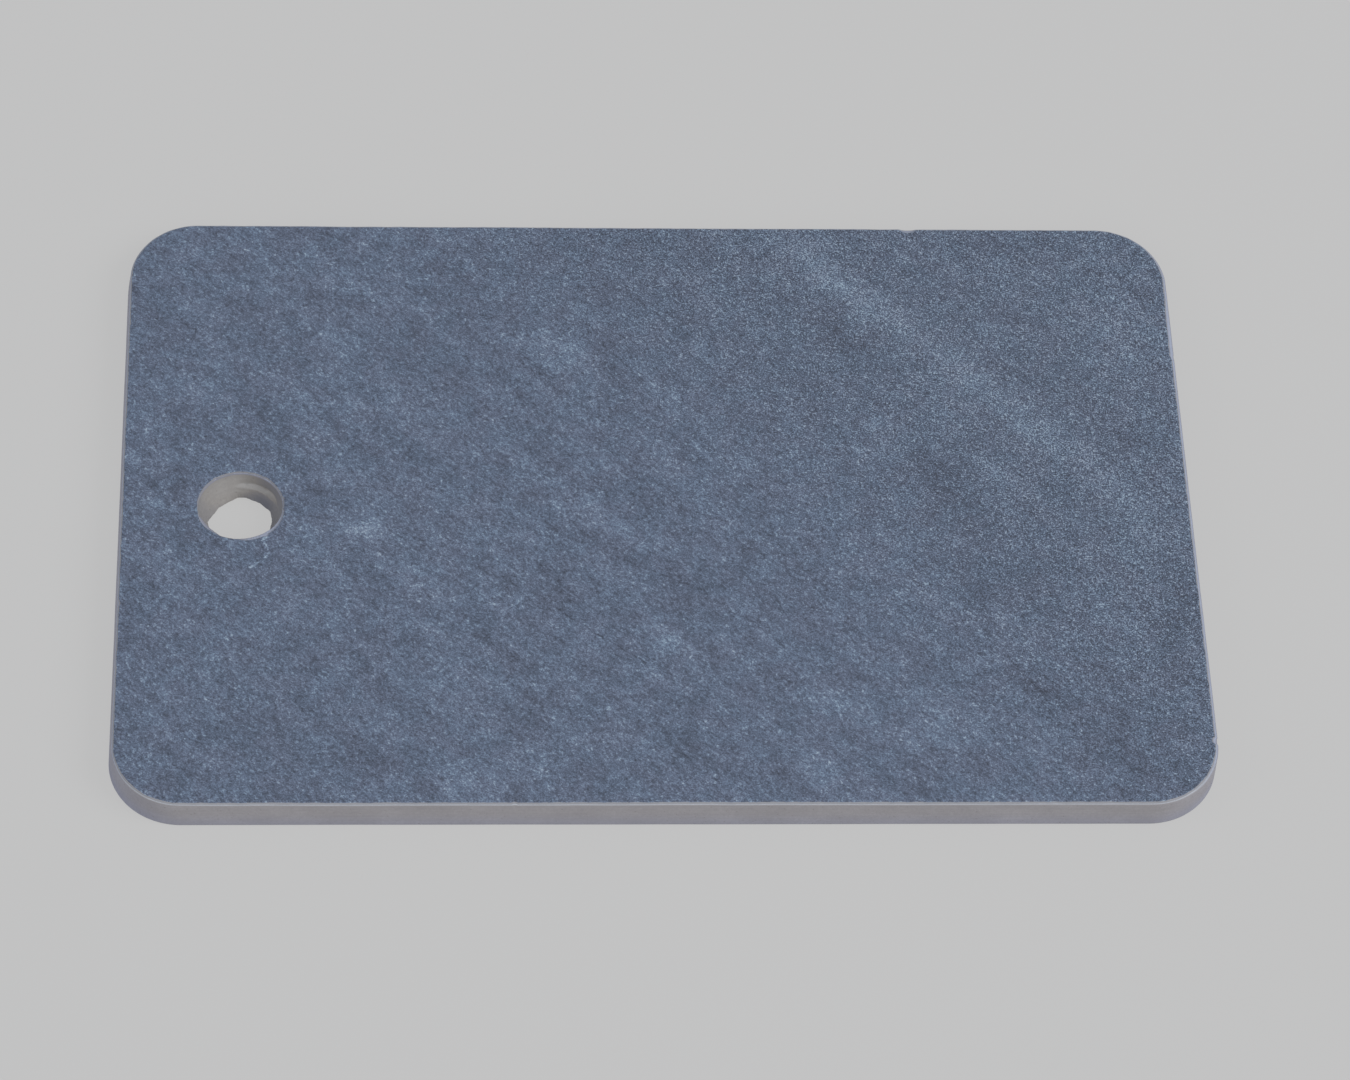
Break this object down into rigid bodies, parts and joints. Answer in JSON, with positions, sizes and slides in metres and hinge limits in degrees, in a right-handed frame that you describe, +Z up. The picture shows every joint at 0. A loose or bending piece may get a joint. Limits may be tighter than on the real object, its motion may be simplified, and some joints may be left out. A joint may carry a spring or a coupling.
{
  "type": "leatherworking slab",
  "caption": "Flat rectangular stoneware slab with a slate-look working face, rounded corners and a round hanging hole near one end.",
  "frame": {"origin": "centre of the underside, on the surface that the slab rests on", "axes": "+X along the length, away from the hanging hole; +Y along the width, away from the user; +Z up, out of the working face"},
  "size_m": [0.3, 0.2, 0.01],
  "materials": {
    "stoneware": "matt fired body, ground on the side walls and in the bore",
    "engobe": "matt pale base coat",
    "glaze": "satin-matt glaze with a fine blue-grey slate pattern"
  },
  "bodies": {
    "root": {"stoneware_body": "stoneware", "engobe_coat": "engobe", "slate_glaze": "glaze"}
  },
  "joints": []
}
